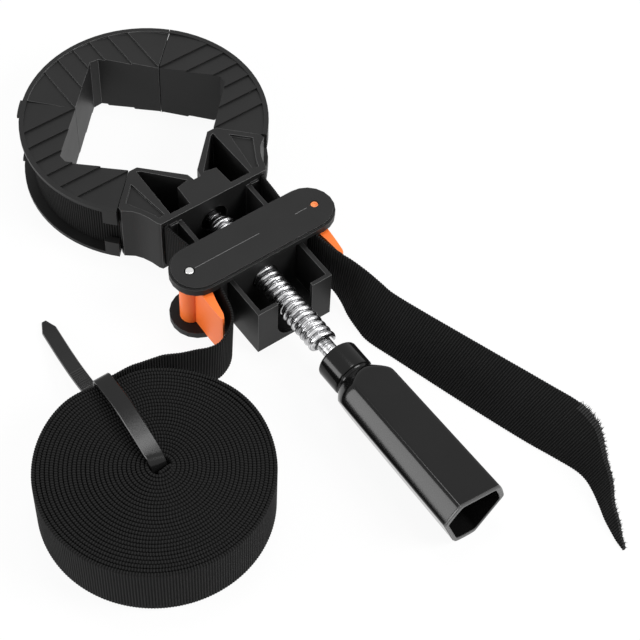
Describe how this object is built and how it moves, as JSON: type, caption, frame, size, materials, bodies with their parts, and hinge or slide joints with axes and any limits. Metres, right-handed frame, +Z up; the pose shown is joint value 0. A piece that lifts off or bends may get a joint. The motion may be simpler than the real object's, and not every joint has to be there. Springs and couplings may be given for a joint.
{
  "type": "band clamp",
  "caption": "Frame band clamp: V jaws on a webbing band, a screw-driven carriage with two cam levers, a three-sided handle, and the rolled band with a cable tie",
  "frame": {"origin": "middle of the hard parts' footprint on the surface that the clamp lies on, free band, coil and tie left out", "axes": "+Y from the handle to the far jaw, +Z up, +X to the right seen from the handle"},
  "size_m": [0.1957, 0.3133, 0.032],
  "materials": {
    "body_plastic": "moulded black plastic, satin",
    "handle_plastic": "glossy black plastic",
    "orange_plastic": "moulded orange plastic, satin",
    "zinc_steel": "bright zinc plate",
    "webbing": "ribbed black webbing",
    "nylon_tie": "black nylon, slight sheen"
  },
  "bodies": {
    "frame": {"clamp_body": "body_plastic", "thrust_washer": "zinc_steel", "band_head_left": "webbing", "band_head_right": "webbing", "band_coil": "webbing", "cable_tie": "nylon_tie"},
    "screw": {"lead_screw": "zinc_steel", "nose_clip": "zinc_steel", "handle": "handle_plastic"},
    "carriage": {"carriage_body": "body_plastic", "tension_nut": "zinc_steel", "left_pivot_pin": "zinc_steel", "right_pivot_pin": "zinc_steel", "band_pull_left": "webbing", "band_pull_right": "webbing", "band_lead": "webbing", "band_tail": "webbing"},
    "left_cam": {"left_cam_lever": "orange_plastic"},
    "right_cam": {"right_cam_lever": "orange_plastic"},
    "left_jaw_body": {"left_jaw": "body_plastic", "band_left_wrap": "webbing"},
    "right_jaw_body": {"right_jaw": "body_plastic", "band_right_wrap": "webbing"},
    "far_jaw_body": {"far_jaw": "body_plastic", "band_far_left": "webbing"},
    "far_band_body": {"band_far_right": "webbing"}
  },
  "joints": [
    {"name": "screw_turn", "type": "hinge", "parent": "frame", "child": "screw", "pos_m": [0, 0.0395, 0.0154], "axis": [0, 1, 0], "range_deg": [-1800, 2160]},
    {"name": "carriage_slide", "type": "slide", "parent": "frame", "child": "carriage", "axis": [0, 1, 0], "range_m": [-0.01801, 0.01501], "deforming": ["band_pull_left", "band_pull_right", "band_lead"]},
    {"name": "left_cam_pivot", "type": "hinge", "parent": "carriage", "child": "left_cam", "pos_m": [-0.0301, 0.0056, 0.0155], "axis": [0, 0, 1], "range_deg": [-65, 0]},
    {"name": "right_cam_pivot", "type": "hinge", "parent": "carriage", "child": "right_cam", "pos_m": [0.0301, 0.0056, 0.0155], "axis": [0, 0, 1], "range_deg": [0, 65]},
    {"name": "left_jaw_slide", "type": "slide", "parent": "frame", "child": "left_jaw_body", "axis": [-0.7071, 0.7071, 0], "range_m": [0, 0.04]},
    {"name": "right_jaw_slide", "type": "slide", "parent": "frame", "child": "right_jaw_body", "axis": [0.7071, 0.7071, 0], "range_m": [0, 0.04]},
    {"name": "far_jaw_slide", "type": "slide", "parent": "left_jaw_body", "child": "far_jaw_body", "axis": [0.7071, 0.7071, 0], "range_m": [0, 0.04]},
    {"name": "far_band_slide", "type": "slide", "parent": "right_jaw_body", "child": "far_band_body", "axis": [-0.7071, 0.7071, 0], "range_m": [0, 0.04]}
  ],
  "couplings": [
    {"joint": "carriage_slide", "follows": "screw_turn", "m_per_rad": -0.00047746},
    {"joint": "far_jaw_slide", "follows": "right_jaw_slide", "ratio": 1},
    {"joint": "far_band_slide", "follows": "left_jaw_slide", "ratio": 1}
  ]
}
